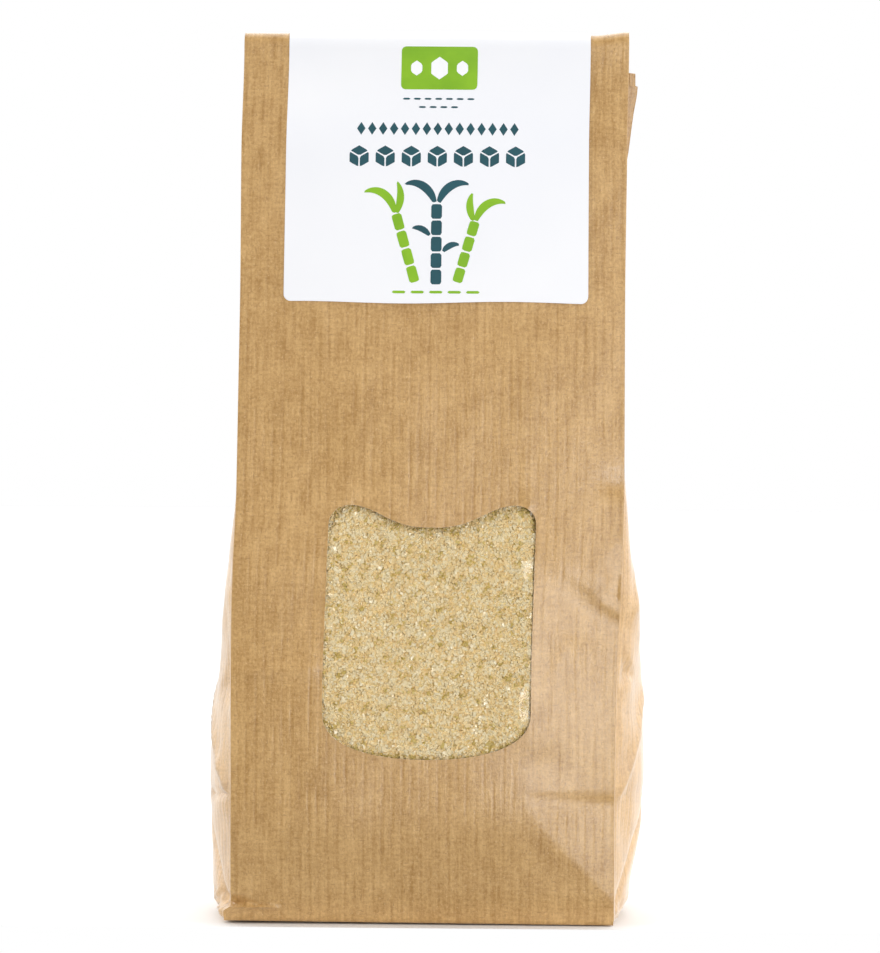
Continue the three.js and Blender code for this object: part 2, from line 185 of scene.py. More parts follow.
def waves(x, z, length, seed):
    """Smooth random undulation of about unit height, from a few crossing waves."""
    random = np.random.default_rng(seed)
    total = np.zeros(np.broadcast(x, z).shape)
    for _ in range(7):
        heading = random.uniform(0, math.pi)
        pitch = length * random.uniform(0.7, 1.5)
        along = (x * math.cos(heading) + z * math.sin(heading)) / pitch
        total += np.sin(2 * math.pi * (along + random.uniform()))
    return total / 2.6


def line_distance(x, z, a, b):
    """Distance from a line's stretch between a and b, and the share of the way along it."""
    ax, az = a
    dx, dz = b[0] - ax, b[1] - az
    share = ((x - ax) * dx + (z - az) * dz) / (dx * dx + dz * dz)
    nearest = np.clip(share, 0, 1)
    return np.hypot(x - ax - nearest * dx, z - az - nearest * dz), share


def crease(x, z, a, b, width, height):
    """A ridge, or a groove where height is negative, that fades out towards both ends."""
    distance, share = line_distance(x, z, a, b)
    fade = smoothstep(share, -0.05, 0.15) * (1 - smoothstep(share, 0.85, 1.05))
    return height * fade / (1 + (distance / width) ** 2) ** 1.5


def dent(x, z, centre, radius_x, radius_z, height):
    return height * np.exp(-(((x - centre[0]) / radius_x) ** 2) - ((z - centre[1]) / radius_z) ** 2)


def tent(x, z, corners, apex, height):
    """A faceted bump or hollow: flat facets run from each side of a convex outline to the apex."""
    level = np.full(np.broadcast(x, z).shape, np.inf)
    for (ax, az), (bx, bz) in zip(corners, corners[1:] + corners[:1]):
        side = (bx - ax) * (z - az) - (bz - az) * (x - ax)
        top = (bx - ax) * (apex[1] - az) - (bz - az) * (apex[0] - ax)
        level = np.minimum(level, side / top)
    return height * np.maximum(level, 0)


FOOT_HEIGHT = 31
FOOT_SETBACK = 2.0
TURNED_START = 27.5
TURNED_SLOPE = 0.11
TURNED_MORE_BELOW = 0.22
TURNED_FOOT_SLOPE = 0.04


def turned_and_drawn_in(x, z):
    """The right of the front is turned back a little, up to a slanting line, and more so below the
    level crease. The foot is drawn in. A ridge runs to the right corner where the slopes meet."""
    turned_back = TURNED_SLOPE * np.clip(x - TURNED_START, 0, None)
    turned_back = turned_back * (1 - smoothstep(z - 0.5 * (40 - x), 80, 91))
    turned_back = turned_back * (1 + TURNED_MORE_BELOW * (1 - smoothstep(z, 31.5, 33.5)))
    turned_back = turned_back - TURNED_FOOT_SLOPE * np.clip(FOOT_HEIGHT - z, 0, None)
    drawn_in = FOOT_SETBACK * (1 - smoothstep(z, 1, FOOT_HEIGHT))
    return np.maximum(turned_back, drawn_in)


def front_relief(x, z):
    """The front panel's creases and dents, by place on the panel."""
    total = 0.22 * waves(x, z, 46, 3) * smoothstep(z, 6, 30) + 0.05 * waves(x, z * 0.6, 13, 4)
    total -= turned_and_drawn_in(x, z)
    # The right side: a notch, the level crease and shallow dents.
    total += tent(x, z, [(43, 84), (51, 79), (51, 99), (46, 95)], (48.9, 85), -1.0)
    total += crease(x, z, (26, 33.1), (51, 32.1), 0.5, -0.3)
    total += crease(x, z, (31, 94), (51, 79), 0.9, 0.1)
    total += dent(x, z, (31, 41), 6, 4.5, -0.45)
    total += tent(x, z, [(30, 58), (46, 60), (49, 72), (34, 76)], (36, 70), 0.45)
    # Above the window.
    total += crease(x, z, (-20.6, 106.5), (-20.4, 113), 0.7, 0.4)
    total += crease(x, z, (25.6, 106), (25.4, 111.5), 0.7, 0.4)
    total += crease(x, z, (25.2, 104), (25, 122), 0.8, 0.16)
    total += dent(x, z, (48.5, 113), 4.5, 3, -0.7)
    total += crease(x, z, (-28.6, 159), (-28.2, 141), 0.55, 0.2)
    total += dent(x, z, (-17, 143), 3.5, 5, 0.22)
    # The left side and the foot.
    total += crease(x, z, (-50, 64.6), (-26, 65.4), 1.7, 0.5)
    total += crease(x, z, (-50, 32.2), (-35, 31.8), 0.6, 0.28)
    total += crease(x, z, (-50, 3.8), (-36, 4.1), 0.45, 0.9)
    total += tent(x, z, [(-50, 4.2), (-40, 4.6), (-46, 7.6), (-50, 8)], (-47.5, 5.4), -2.2)
    return total


def gusset_relief(w, z, seed, facets):
    """A gusset's creases: the block bottom's slanting folds, a level one, and a shallow middle one.
    w runs across it from the front crease to the back one."""
    full = smoothstep(z, 2, 14) * (1 - smoothstep(z, 86, 104))
    from_middle = np.abs(w - GUSSET_MIDDLE)
    calm = 0.2 + 0.8 * smoothstep(from_middle, 8, 18)
    total = full * calm * (0.4 * waves(w, z, 30, seed) + 0.14 * waves(w, z, 11, seed + 1))
    total += crease(w, z, (GUSSET_MIDDLE, 40), (GUSSET_MIDDLE, 108), 0.9, -0.4)
    for side in (0, GUSSET_WIDTH):
        total += crease(w, z, (side, 31), (side + (GUSSET_MIDDLE - side) * 0.85, 61), 1.6, 1.0)
        total += crease(w, z, (side, 2), (GUSSET_MIDDLE, 33), 2.0, -1.3)
    total += crease(w, z, (0, 32.8), (GUSSET_WIDTH, 32.4), 0.7, -0.25)
    for a, b, c, apex, height in facets:
        total += tent(w, z, [a, b, c], apex, height)
    return total


def left_gusset_relief(w, z):
    facets = [
        ((0, 52), (14, 58), (2, 74), (5, 62), -1.3),
        ((1, 34), (14, 36), (5, 50), (7, 40), 0.7),
        ((4, 74), (13, 70), (10, 94), (9, 78), 0.4),
    ]
    total = gusset_relief(w, z, 21, facets)
    total += crease(w, z, (-2, 33), (24, 31.5), 0.6, -1.3)
    crumple = (1 - smoothstep(z, 4, 9)) * (1 - smoothstep(w, 10, 24))
    return total + crumple * (0.7 * waves(w, z, 6, 23) + 0.7 * np.abs(waves(w, z, 4, 24)))


def right_gusset_relief(w, z):
    facets = [
        ((0, 60), (15, 63), (1, 70), (6, 65), -1.6),
        ((3, 76), (14, 74), (11, 98), (9, 82), 0.8),
    ]
    total = gusset_relief(w, z, 31, facets)
    total += tent(w, z, [(0.5, 1), (7, 2), (6, 6), (1, 5)], (4, 3), 0.8)
    crumple = 1 - smoothstep(z, 3, 8)
    return total + crumple * 0.3 * waves(w, z, 6, 33)


def back_relief(x, z):
    total = 0.45 * waves(x, z, 52, 41) * smoothstep(z, 6, 30) + 0.08 * waves(x, z, 15, 42)
    total += crease(x, z, (-51, 32.4), (51, 32.6), 0.7, -0.45)
    total += tent(x, z, [(-50, 60), (-28, 66), (-30, 96), (-50, 92)], (-44, 76), -1.0)
    total += tent(x, z, [(50, 56), (50, 88), (30, 90), (27, 70)], (45, 72), -0.9)
    return total


# ---- The bag's outer skin


def settle(x, y, z):
    """The bag leans a little, and its folded top slopes, with the right corner of it raised."""
    share = smoothstep(z, FOLD_SLOPE_START, STANDING_HEIGHT)
    corner = TOP_CORNER_RISE * smoothstep(x, 41, 51) * smoothstep(z, 205, STANDING_HEIGHT)
    return stacked(x + lean(z), y, z - FOLD_SLOPE * x * share + corner)


def bulge(x, z):
    return panel_bulge(z) * (1 - (x / crease_x(z)) ** 2)


def front_y(x, z):
    return front_crease_y(z) - bulge(x, z)


def back_y(x, z):
    return back_crease_y(z) + bulge(x, z)


def base_draw(z):
    """How far the skin is drawn in where it rounds into the base."""
    t = np.clip(1 - z / (2 * BASE_EDGE_RADIUS), 0, 1)
    return BASE_EDGE_RADIUS * (1 - np.sqrt(1 - t * t))


def flap_y(z):
    drop = np.clip((FOLD_HEIGHT - z) / 10, 0, 1)
    clearance = 2 * FOLD_INNER_RADIUS + (FLAP_CLEARANCE - 2 * FOLD_INNER_RADIUS) * drop
    return back_crease_y(z) + clearance + STACK


def fold_point(x, depth, turn):
    radius = FOLD_RADIUS - depth
    axis_y = front_crease_y(FOLD_HEIGHT) + FOLD_RADIUS
    return settle(x, axis_y - radius * np.cos(turn), FOLD_HEIGHT + radius * np.sin(turn))


def along_fold(way, start, parts):
    """Picks what holds at each point: the part before the fold's start, the fold, or the flap."""
    kind = (way > start).astype(int) + (way >= start + FOLD_ARC)
    return np.choose(kind[..., None], parts) + CENTRING


def skin_point(x, y, s):
    """A point of the skin: x and y on the section at its height, s the way up the paper from the
    floor. Past the fold's start the section stays as it is there and turns over to the back."""
    s = np.broadcast_to(s, np.broadcast(x, y, s).shape)
    depth = y - front_crease_y(FOLD_HEIGHT)
    turn = np.clip((s - FOLD_HEIGHT) / FOLD_ARC, 0, 1) * math.pi
    z = FOLD_HEIGHT - (s - FOLD_HEIGHT - FOLD_ARC)
    standing = settle(x, y, np.minimum(s, FOLD_HEIGHT))
    folded = fold_point(x, depth, turn)
    hanging = settle(x, flap_y(z) - depth, z)
    return along_fold(s, FOLD_HEIGHT, [standing, folded, hanging])


def foot_shape(points):
    """The front's foot stands a little off the floor, and its left corner is pushed outwards."""
    x, y, z = (points[..., i].copy() for i in range(3))
    near_front = 1 - smoothstep(y, -31, -22)
    points[..., 2] += (FRONT_LIFT - FRONT_LIFT_SLOPE * x) * near_front * (1 - smoothstep(z, 0, 5))
    corner = smoothstep(-x, 41, 48.5) * (1 - smoothstep(y, -27, -14))
    points[..., 0] -= FOOT_CORNER * corner * (1 - smoothstep(z, 2.8, 4.6))
    return points


def front_skin(x, s):
    z = np.minimum(s, FOLD_HEIGHT)
    y = front_y(x, z) + base_draw(z) - front_relief(x, z) * below_fold(z)
    return foot_shape(skin_point(x, y, s))


# ---- Meshes


class Soup:
    """Collects points and faces of several patches, and joins points that coincide."""

    def __init__(self):
        self.points, self.sheet, self.faces, self.count = [], [], [], 0

    def add(self, points, sheet, faces):
        self.points.append(points.reshape(-1, 3))
        self.sheet.append(sheet.reshape(-1, 2))
        self.faces += [tuple(i + self.count for i in face) for face in faces]
        self.count += len(self.points[-1])

    def add_grid(self, points, sheet, flip=False):
        rows, columns = points.shape[:2]
        faces = []
        for r in range(rows - 1):
            for c in range(columns - 1):
                a = r * columns + c
                face = (a, a + 1, a + columns + 1, a + columns)
                faces.append(face[::-1] if flip else face)
        self.add(points, sheet, faces)

    def joined(self):
        points = np.concatenate(self.points)
        sheet = np.concatenate(self.sheet)
        keys = np.round(points, 3)
        _, first, inverse = np.unique(keys, axis=0, return_index=True, return_inverse=True)
        inverse = inverse.reshape(-1).tolist()
        faces = [tuple(dict.fromkeys(inverse[i] for i in face)) for face in self.faces]
        return points[first], sheet[first], [face for face in faces if len(face) > 2]


def face_normals(points, faces):
    """Normals of unit length at the points, weighted by face area."""
    normals = np.zeros_like(points)
    for size in (3, 4):
        chosen = np.array([face for face in faces if len(face) == size], int).reshape(-1, size)
        if len(chosen):
            across = points[chosen[:, 2]] - points[chosen[:, 0]]
            other = points[chosen[:, -1]] - points[chosen[:, 1]]
            normal = np.cross(across, other)
            for corner in range(size):
                np.add.at(normals, chosen[:, corner], normal)
    return normals / np.maximum(np.linalg.norm(normals, axis=1, keepdims=True), 1e-12)


def thickened(points, sheet, faces, thickness):
    """A closed shell: the faces, a copy set back by the thickness, and rims along open edges."""
    inner = points - face_normals(points, faces) * thickness
    size = len(points)
    edges = dict.fromkeys(edge for face in faces for edge in zip(face, face[1:] + face[:1]))
    rims = [(b, a, a + size, b + size) for a, b in edges if (b, a) not in edges]
    backs = [tuple(i + size for i in reversed(face)) for face in faces]
    return np.concatenate([points, inner]), np.concatenate([sheet, sheet]), faces + backs + rims


def mesh_piece(name, material, points, sheet, faces, sharp_angle=None):
    """A piece of the scene. Sheet, where there is one, holds two numbers for the material to use at
    each point: its place on the flat sheet, or a grain's tones."""
    mesh = bpy.data.meshes.new(name)
    mesh.from_pydata((points * MM).tolist(), [], faces)
    mesh.materials.append(material)
    if sheet is not None:
        attribute = mesh.attributes.new("sheet", "FLOAT2", "POINT")
        attribute.data.foreach_set("vector", sheet.astype(np.float32).ravel())
    mesh.polygons.foreach_set("use_smooth", [True] * len(mesh.polygons))
    if sharp_angle is not None:
        mesh.set_sharp_from_angle(angle=math.radians(sharp_angle))
    mesh.validate()
    mesh.update()
    piece = bpy.data.objects.new(name, mesh)
    bpy.context.scene.collection.objects.link(piece)
    return piece


def inside(polygon, points):
    """Which points lie inside a closed outline."""
    x, y = points[:, 0, None], points[:, 1, None]
    x0, y0 = polygon.T
    x1, y1 = np.roll(polygon, -1, axis=0).T
    crosses = (y0 > y) != (y1 > y)
    with np.errstate(divide="ignore", invalid="ignore"):
        at = x0 + (y - y0) * (x1 - x0) / (y1 - y0)
    return (np.sum(crosses & (x < at), axis=1) % 2) == 1


def resampled(outline, step):
    """A closed outline as points about one step apart."""
    closed = np.vstack([outline, outline[:1]])
    lengths = np.r_[0, np.cumsum(np.linalg.norm(np.diff(closed, axis=0), axis=1))]
    at = np.linspace(0, lengths[-1], max(8, round(lengths[-1] / step)), endpoint=False)
    return np.stack([np.interp(at, lengths, closed[:, i]) for i in (0, 1)], 1)


def triangulated(outlines, grid, keep):
    """Triangles over grid points and outlines, where keep says yes to a triangle's middle."""
    points = np.vstack([*outlines, grid])
    edges, start = [], 0
    for outline in outlines:
        size = len(outline)
        edges += [(start + i, start + (i + 1) % size) for i in range(size)]
        start += size
    made = delaunay_2d_cdt([Vector(p) for p in points], edges, [], 0, 1e-6)
    flat = np.array([tuple(p) for p in made[0]])
    triangles = np.array([tuple(face) for face in made[2]], int)
    middles = flat[triangles].mean(axis=1)
    return flat, triangles[keep(middles)]


# ---- The paper bag

SHARP_ANGLE = 48
ROW_STEP = 1.25
ROWS = np.concatenate([
    [0, 0.25, 0.6, 1.1],
    np.arange(1.6, 9, ROW_STEP / 2),
    np.arange(9.1, 216.2, ROW_STEP),
    [217.0, 217.2, 218.6, 220.2, 220.4, 222.0, 223.8, 225.7],
    FOLD_HEIGHT + FOLD_ARC * np.linspace(0, 1, 13),
    FOLD_HEIGHT + FOLD_ARC + np.arange(1.5, FOLD_HEIGHT - FLAP_END_HEIGHT, 1.9),
    [2 * FOLD_HEIGHT + FOLD_ARC - FLAP_END_HEIGHT],
])


def window_outline():
    """The die-cut window as (x, z), counter-clockwise from the front: a lower arc, a rounded horn
    at each upper corner, and a dip between the horns."""
    turn = np.linspace(math.pi, 2 * math.pi, 60)
    depth = WINDOW_LOWER_CORNER - WINDOW_BOTTOM
    lower = stacked(
        WINDOW_HALF * np.sign(np.cos(turn)) * np.abs(np.cos(turn)) ** 0.92,
        WINDOW_LOWER_CORNER - depth * np.abs(np.sin(turn)) ** 0.8,
    )
    quarter = np.linspace(0, math.pi / 2, 12)
    corner = WINDOW_HALF - WINDOW_HORN_X
    rise = WINDOW_HORN_TOP - WINDOW_UPPER_CORNER
    right = stacked(
        WINDOW_HORN_X + corner * np.cos(quarter),
        WINDOW_UPPER_CORNER + rise * np.sin(quarter),
    )
    x = np.linspace(WINDOW_HORN_X, -WINDOW_HORN_X, 40)[1:-1]
    share = ((1 - np.cos(math.pi * x / WINDOW_HORN_X)) / 2) ** 1.5
    top = stacked(x, WINDOW_DIP + (WINDOW_HORN_TOP - WINDOW_DIP) * share)
    left = right[::-1] * [-1, 1]
    return np.vstack([lower, right, top, left]) + [WINDOW_X, 0]


WINDOW_OUTLINE = window_outline()


def panel_half(s):
    return crease_x(np.minimum(s, FOLD_HEIGHT)) + CREASE_SPREAD - CREASE_RADIUS


def front_sheet(soup):
    half = PANEL_WIDTH / 2
    inner = half - CREASE_STRIP
    columns = np.concatenate([[-half], np.linspace(-inner, inner, 81), [half]])
    grid = grid_points(columns, ROWS)
    hole_x, hole_z = resampled(WINDOW_OUTLINE, 0.8).T
    hole = stacked(hole_x * half / panel_half(hole_z), hole_z)
    centre = hole.mean(axis=0)
    rim = centre + (hole - centre) * 1.025  # keeps the triangles beside the hole small
    grid = grid[(distance_to(rim, grid) >= 0.75) & ~inside(rim, grid)]
    flat, triangles = triangulated([hole, rim], grid, lambda p: ~inside(hole, p))
    z = flat[:, 1]
    x = flat[:, 0] * panel_half(z) / half
    soup.add(front_skin(x, z), stacked(x, z), triangles.tolist())


CORNER_TURN = np.linspace(0, math.pi / 2, 4)
# Shares of the way from a crease to the gusset's middle.
HALF_GUSSET = np.r_[0, CREASE_STRIP / GUSSET_WIDTH, np.linspace(0, 1, 24)[1:] ** 1.25]


def gusset_section(z, reach, ridge, relief, out):
    """Rows of a gusset from the front crease's rounding to the back one's, as outward and y
    places. Out is one where the back half stands out by the peek, and nothing where it doesn't."""
    front = front_crease_y(z)[:, None]
    back = back_crease_y(z)[:, None]
    edge = crease_x(z)[:, None]
    near = front + DOUBLE_LAYER
    far = back - DOUBLE_LAYER
    middle = (near + far) / 2
    t = HALF_GUSSET[None]
    back_t = 1 - t[:, ::-1]
    quiet = (1 - smoothstep(z, 96, 125))[:, None]

    def outward(s):
        whole = reach(z)[:, None]
        shape = np.where(whole > 0, 1 - s * s, 1 - np.abs(s))
        spare = ridge(z)[:, None] * 4 * s * s * (1 - s * s)
        w = (s + 1) * GUSSET_MIDDLE
        pinned = smoothstep(1 - np.abs(s), 0, 0.12)
        return whole * shape + spare + relief(w, z[:, None] + 0 * w) * quiet * pinned

    corner = CORNER_TURN[None, :-1]
    edge = edge + CREASE_SPREAD
    round_x = edge - CREASE_RADIUS * (1 - np.sin(corner))
    sag = bulge(panel_half(z), z)[:, None]
    round_y = CREASE_RADIUS * (1 - np.cos(corner)) - sag * np.cos(corner)
    shift = peek(z)[:, None] * out
    x = np.hstack([
        round_x,
        edge + outward(t - 1),
        edge + outward(back_t) + shift * back_t,
        (round_x + shift)[:, ::-1],
    ])
    y = np.hstack([
        front + round_y,
        near + (middle - SLOT / 2 - near) * t,
        middle + SLOT / 2 + (far - middle - SLOT / 2) * back_t,
        (back - round_y)[:, ::-1],
    ])
    draw = base_draw(z)[:, None]
    y = y + np.where(y < middle, draw, -draw) * (np.abs(y - middle) > np.abs(front - middle) * 0.9)
    return x - draw, y


def gusset_sheet(soup, side):
    """The gusset on one side, 1 for the right and -1 for the left. It returns its lowest row."""
    z = np.minimum(ROWS, FOLD_HEIGHT)
    settings = {
        1: (right_reach, right_ridge, right_gusset_relief, 1),
        -1: (left_reach, left_ridge, left_gusset_relief, 0),
    }
    x, y = gusset_section(z, *settings[side])
    front_edge = front_relief(side * panel_half(z), z) * below_fold(z)
    back_edge = back_relief(side * panel_half(z), z) * below_fold(z)
    rounded = len(CORNER_TURN) - 1
    fade = np.concatenate([np.ones(rounded), 1 - HALF_GUSSET])
    for i, share in enumerate(fade):
        y[:, i] -= front_edge * share
        y[:, -1 - i] += back_edge * share
    points = skin_point(side * x, y, ROWS[:, None])
    lowest = points[0].copy()
    across = np.linspace(PANEL_WIDTH / 2, PANEL_WIDTH / 2 + GUSSET_WIDTH, x.shape[1])
    sheet = stacked(side * across[None], ROWS[:, None])
    soup.add_grid(foot_shape(points), sheet, flip=side < 0)
    return lowest


def back_sheet(soup):
    z = np.minimum(ROWS, FOLD_HEIGHT)[:, None]
    u = np.concatenate([[-1], np.linspace(-0.994, 0.994, 49), [1]])[None]
    x = panel_half(z) * u
    y = back_y(x, z) - base_draw(z) + back_relief(x, z) * below_fold(z)
    x = x + peek(z) * np.clip(u, 0, 1)
    sheet = stacked(PANEL_WIDTH + GUSSET_WIDTH - u * PANEL_WIDTH / 2, ROWS[:, None])
    soup.add_grid(skin_point(x, y, ROWS[:, None]), sheet, flip=True)


BASE_PLACE = 400  # where the base lies on the flat sheet, clear of the rest


def base_sheet(soup, left, right):
    """The flat base, between the lowest rows of the two gussets."""
    share = np.linspace(0, 1, 41)[None, :, None]
    points = foot_shape(left[:, None] * (1 - share) + right[:, None] * share)
    soup.add_grid(points, points[..., :2] + [0, BASE_PLACE], flip=True)


def paper_bag(material):
    soup = Soup()
    front_sheet(soup)
    right = gusset_sheet(soup, 1)
    left = gusset_sheet(soup, -1)
    back_sheet(soup)
    base_sheet(soup, left, right)
    return mesh_piece("bag_paper", material, *thickened(*soup.joined(), PAPER), SHARP_ANGLE)


# ---- Window film

FILM_SHEET = 0.06
FILM_GAP = 0.04
FILM_MARGIN = 5


def film_dent(x, z):
    """Two places by the window's right edge where the film bends back and catches the light."""
    low = smoothstep(z, 51.5, 54) * (1 - smoothstep(z, 58.5, 61))
    high = smoothstep(z, 87.5, 89) * (1 - smoothstep(z, 92.5, 94))
    return 0.17 * np.clip(x - 24.6, 0, 3) * (low + high)


def film_y(x, z):
    return front_y(x, z) - front_relief(x, z) + PAPER + FILM_GAP + film_dent(x, z)


def window_film(material):
    half = WINDOW_HALF + FILM_MARGIN
    x = np.linspace(-half, half, 100)[None] + WINDOW_X
    z = np.linspace(WINDOW_BOTTOM - FILM_MARGIN, WINDOW_HORN_TOP + FILM_MARGIN, 50)[:, None]
    soup = Soup()
    soup.add_grid(settle(x, film_y(x, z), z) + CENTRING, stacked(x, z))
    return mesh_piece("window_film_sheet", material, *thickened(*soup.joined(), FILM_SHEET))


# ---- Sugar

SUGAR_FACE = 0.95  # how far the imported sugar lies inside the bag's skin at the window
SUGAR_INSET = 2.2  # and elsewhere
FINE_STEP = 0.5
HOLLOW_DEPTH = 0.33
RIM_DEPTH = 0.4
RIM_MORE_AT_TOP = 0.9


def window_top(z):
    return smoothstep(z, 88, 100)


def rim_share(x, z):
    """One at the window's edge, and nothing from two millimetres inside it, or three at its top."""
    places = stacked(x, z)
    distance = distance_to(WINDOW_OUTLINE, places.reshape(-1, 2)).reshape(places.shape[:-1])
    return 1 - smoothstep(distance, 0.3, 2 + window_top(z))


def hollow(x, z):
    """How far the grains lie back from the film: in places some two grains across, and all round
    the window's edge, most at its top."""
    rim = rim_share(x, z) * (RIM_DEPTH + RIM_MORE_AT_TOP * window_top(z))
    return HOLLOW_DEPTH * np.clip(waves(x, z, 3.6, 71), -0.2, 1.4) + rim


def sugar_ring(row, fine_x, shown, random):
    """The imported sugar's section at one height, with a grained front where it shows."""
    edge = crease_x(row) - SUGAR_INSET
    x = np.concatenate([[-edge, -edge * 0.8], fine_x, [edge * 0.8, edge]])
    grain = random.uniform(0, 0.8, len(x))
    shown = shown & (np.abs(x - WINDOW_X) < WINDOW_HALF + 2.6)
    gap = np.where(shown, SUGAR_FACE + grain + hollow(x, row), SUGAR_INSET)
    front = front_y(x, row) - front_relief(x, row) + gap
    sides = np.linspace(-1, 1, 13)[1:-1]
    middle = (front_crease_y(row) + back_crease_y(row)) / 2
    half = (back_crease_y(row) - front_crease_y(row)) / 2 - SUGAR_INSET

    def out(reach):
        whole = float(reach(row))
        return whole * (1 - sides**2 if whole > 0 else 1 - np.abs(sides))

    back_x = -edge * np.linspace(-1, 1, 9)
    ring = np.vstack([
        stacked(x, front),
        stacked(edge + out(right_reach), middle + half * sides),
        stacked(back_x, back_y(back_x, row) - SUGAR_INSET),
        stacked(-edge - out(left_reach), middle + half * sides)[::-1],
    ])
    return settle(ring[:, 0], ring[:, 1], row)


def sugar_core(material):
    """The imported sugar, with relief one grain in size where it shows in the window."""
    fine_z = np.arange(WINDOW_BOTTOM - 4, WINDOW_HORN_TOP + 4, FINE_STEP)
    fine_x = np.arange(WINDOW_X - WINDOW_HALF - 3, WINDOW_X + WINDOW_HALF + 3, FINE_STEP)
    z = np.concatenate([[1.2, 3], np.arange(6, fine_z[0] - 1, 4), fine_z, [FILL_HEIGHT]])
    random = np.random.default_rng(5)
    rings = [sugar_ring(row, fine_x, row >= fine_z[0], random) for row in z]
    size = len(rings[0])
    points = np.vstack(rings) + CENTRING
    foot = points[:size].mean(axis=0)
    crown = points[-size:].mean(axis=0) + [0, 0, FILL_MOUND]
    points = np.vstack([points, foot, crown])
    last = (len(rings) - 1) * size
    faces = []
    for c in range(size):
        d = (c + 1) % size
        for start in range(0, last, size):
            faces.append((start + c, start + d, start + size + d, start + size + c))
        faces.append((d, c, len(points) - 2))
        faces.append((last + c, last + d, len(points) - 1))
    return mesh_piece("sugar_core", material, points, None, faces)


BOX_FACES = ((0, 1, 3, 2), (4, 6, 7, 5), (0, 4, 5, 1), (2, 3, 7, 6), (0, 2, 6, 4), (1, 5, 7, 3))


def crystal_shapes():
    """The corners of a few crystal forms: boxes with sloping faces and one chipped corner."""
    random = np.random.default_rng(11)
    shapes = []
    for _ in range(8):
        box = np.array([[x, y, z] for x in (-1, 1) for y in (-1, 1) for z in (-1, 1)], float) / 2
        box[:, 0] += 0.22 * box[:, 2] * random.uniform(-1, 1)
        box += random.uniform(-0.09, 0.09, box.shape)
        box[0] *= random.uniform(0.5, 0.75)
        shapes.append(box)
    return shapes


def turned(random, count):
    """Random rotation matrices."""
    turns = [Quaternion(q).normalized() for q in random.normal(size=(count, 4))]
    return np.array([turn.to_matrix() for turn in turns])


def crystals(name, material, share, seed, places):
    """One kind of crystal: loose grains at its share of the grain places, as one mesh."""
    random = np.random.default_rng(seed)
    chosen = places[(places[:, 3] >= share[0]) & (places[:, 3] < share[1])]
    count = len(chosen)
    size = random.lognormal(math.log(0.66), 0.22, count).clip(0.4, 1.05)
    width = random.uniform(0.75, 1.0, count)
    depth = random.uniform(0.55, 0.9, count)
    length = random.uniform(0.9, 1.5, count)
    stretch = stacked(width, depth, length)
    rotation = turned(random, count)
    shapes = crystal_shapes()
    pick = random.integers(len(shapes), size=count)
    points, faces, tones = [], [], []
    base = 0
    for kind, box in enumerate(shapes):
        which = np.flatnonzero(pick == kind)
        grains = box[None] * (size[which, None] * stretch[which])[:, None]
        grains = np.einsum("nij,nkj->nki", rotation[which], grains)
        grains[..., 1] -= grains[..., 1].min(axis=1, keepdims=True)
        grains = grains + chosen[which, None, :3]
        points.append(grains.reshape(-1, 3))
        for _ in which:
            faces += [tuple(i + base for i in face) for face in BOX_FACES]
            base += len(box)
        tones.append(np.repeat(random.uniform(0, 1, (len(which), 2)), len(box), axis=0))
    piece = mesh_piece(name, material, np.vstack(points), np.vstack(tones), faces)
    piece.data.polygons.foreach_set("use_smooth", [False] * len(piece.data.polygons))
    return piece


GRAIN_LAYERS = ((0.46, 0.68), (0.85, 0.7))  # the depth and the step between grains of each layer


def grain_places():
    """Where grains lie against the film: x, y, z, and a rank from 0 to 1 that picks the kind.
    Dark kinds come in patches, and more of them lie at the window's edge as painted shade, where
    the paper's edge shades the sugar."""
    random = np.random.default_rng(17)
    centre = WINDOW_OUTLINE.mean(axis=0)
    reach = centre + (WINDOW_OUTLINE - centre) * 1.03
    layers = []
    for depth, step in GRAIN_LAYERS:
        x = np.arange(WINDOW_X - WINDOW_HALF - 2, WINDOW_X + WINDOW_HALF + 2, step)
        z = np.arange(WINDOW_BOTTOM - 2, WINDOW_HORN_TOP + 2, step)
        grid = grid_points(x, z)
        grid = grid + random.uniform(-0.33, 0.33, grid.shape)
        grid = grid[inside(reach, grid)]
        gx, gz = grid.T
        behind = depth + random.uniform(0, 0.24, len(gx)) + film_dent(gx, gz) + hollow(gx, gz)
        y = front_y(gx, gz) - front_relief(gx, gz) + behind
        placed = settle(gx, y, gz) + CENTRING
        kind = random.uniform(-1, 1, len(gx)) + 0.6 * waves(gx, gz, 4.5, 73)
        # Painted shade: the rank is raised at the window's edge, so darker kinds gather where the
        # paper's edge shades the sugar.
        kind = kind + 0.8 * rim_share(gx, gz)
        layers.append(np.column_stack([placed, np.argsort(np.argsort(kind)) / len(kind)]))
    return np.vstack(layers)


# ---- Label

LABEL_STAND_OFF = 0.14
LABEL_SHEET = 0.16
PRINT_SHEET = 0.05
PRINT_GAP = 0.03
BACK_RUN = FOLD_HEIGHT - LABEL_BACK_END
LABEL_LENGTH = (FOLD_HEIGHT - LABEL_FRONT_END) + FOLD_ARC + BACK_RUN


